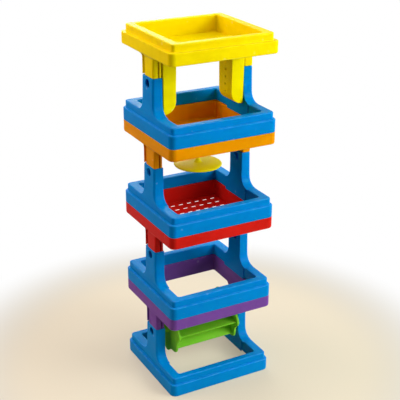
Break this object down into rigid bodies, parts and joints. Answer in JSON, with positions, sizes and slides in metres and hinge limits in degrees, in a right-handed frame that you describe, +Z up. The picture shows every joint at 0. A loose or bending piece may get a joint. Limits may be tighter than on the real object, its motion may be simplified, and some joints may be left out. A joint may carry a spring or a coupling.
{
  "type": "stacking water toy",
  "caption": "Tower of coloured trays on matching stands that lift apart; water runs from tray to tray through spouts, over a splash disc, through a sieve and onto a paddle wheel.",
  "frame": {"origin": "middle of the base stand's footprint, on the surface that the tower stands on", "axes": "+X along the front from left to right and along the wheel's axle, -Y towards the front, +Z up the tower"},
  "size_m": [0.15, 0.142, 0.4754],
  "materials": {
    "blue": "satin moulded plastic",
    "purple": "satin moulded plastic",
    "red": "satin moulded plastic",
    "orange": "satin moulded plastic",
    "yellow": "satin moulded plastic",
    "green": "satin moulded plastic"
  },
  "bodies": {
    "base": {"base_stand": "blue"},
    "wheel": {"wheel_paddles": "green", "wheel_left_plate": "green", "wheel_right_plate": "green"},
    "purple_level": {"purple_tray": "purple"},
    "lower_level": {"lower_stand": "blue"},
    "red_level": {"red_tray": "red"},
    "middle_level": {"middle_stand": "blue"},
    "orange_level": {"orange_tray": "orange", "splash_disc": "yellow"},
    "upper_level": {"upper_stand": "blue"},
    "yellow_level": {"yellow_tray": "yellow", "left_spout": "yellow", "right_spout": "yellow"}
  },
  "joints": [
    {"name": "wheel_spin", "type": "hinge", "parent": "base", "child": "wheel", "pos_m": [0, 0, 0.0642], "axis": [1, 0, 0], "continuous": true},
    {"name": "purple_tray_lift", "type": "slide", "parent": "base", "child": "purple_level", "axis": [0, 0, 1], "range_m": [0, 0.03]},
    {"name": "lower_stand_lift", "type": "slide", "parent": "purple_level", "child": "lower_level", "axis": [0, 0, 1], "range_m": [0, 0.03]},
    {"name": "red_tray_lift", "type": "slide", "parent": "lower_level", "child": "red_level", "axis": [0, 0, 1], "range_m": [0, 0.03]},
    {"name": "middle_stand_lift", "type": "slide", "parent": "red_level", "child": "middle_level", "axis": [0, 0, 1], "range_m": [0, 0.03]},
    {"name": "orange_tray_lift", "type": "slide", "parent": "middle_level", "child": "orange_level", "axis": [0, 0, 1], "range_m": [0, 0.03]},
    {"name": "upper_stand_lift", "type": "slide", "parent": "orange_level", "child": "upper_level", "axis": [0, 0, 1], "range_m": [0, 0.03]},
    {"name": "yellow_tray_lift", "type": "slide", "parent": "upper_level", "child": "yellow_level", "axis": [0, 0, 1], "range_m": [0, 0.06]}
  ]
}
